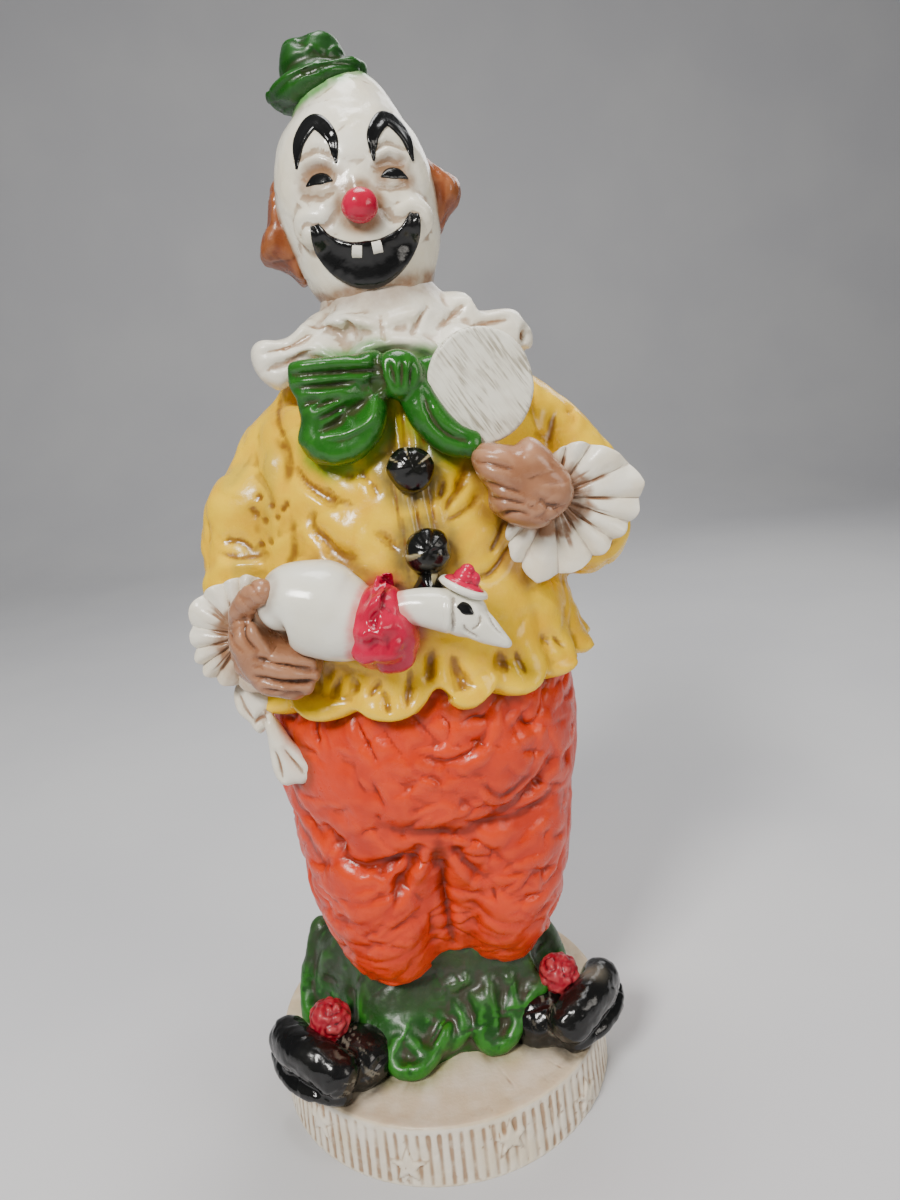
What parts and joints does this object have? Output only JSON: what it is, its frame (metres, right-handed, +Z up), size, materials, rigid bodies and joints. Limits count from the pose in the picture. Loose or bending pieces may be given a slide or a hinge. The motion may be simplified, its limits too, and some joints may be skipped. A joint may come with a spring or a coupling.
{
  "type": "clown figurine",
  "caption": "Painted plaster statue of a standing clown with a goose under one arm and a plain round disc raised in the other hand, cast whole with a grooved round plinth.",
  "frame": {"origin": "centre of the round plinth's flat underside", "axes": "+Z up from the underside to the hat, -Y the way the clown faces, +X the clown's left"},
  "size_m": [0.2426, 0.219, 0.6045],
  "materials": {
    "ivory_plaster": "satin brush-painted plaster, brown wash in the hollows",
    "yellow_paint": "glossy lacquered paint over plaster, brown wash in the folds",
    "orange_paint": "glossy lacquered paint over plaster",
    "green_paint": "glossy airbrushed paint over plaster, grey wash in the hollows",
    "black_paint": "high-gloss paint over plaster",
    "red_paint": "glossy paint over plaster, paler on the raised points",
    "flesh_paint": "satin paint over plaster",
    "rust_paint": "satin paint over plaster"
  },
  "bodies": {
    "root": {"clown_figurine": "ivory_plaster"}
  },
  "joints": []
}
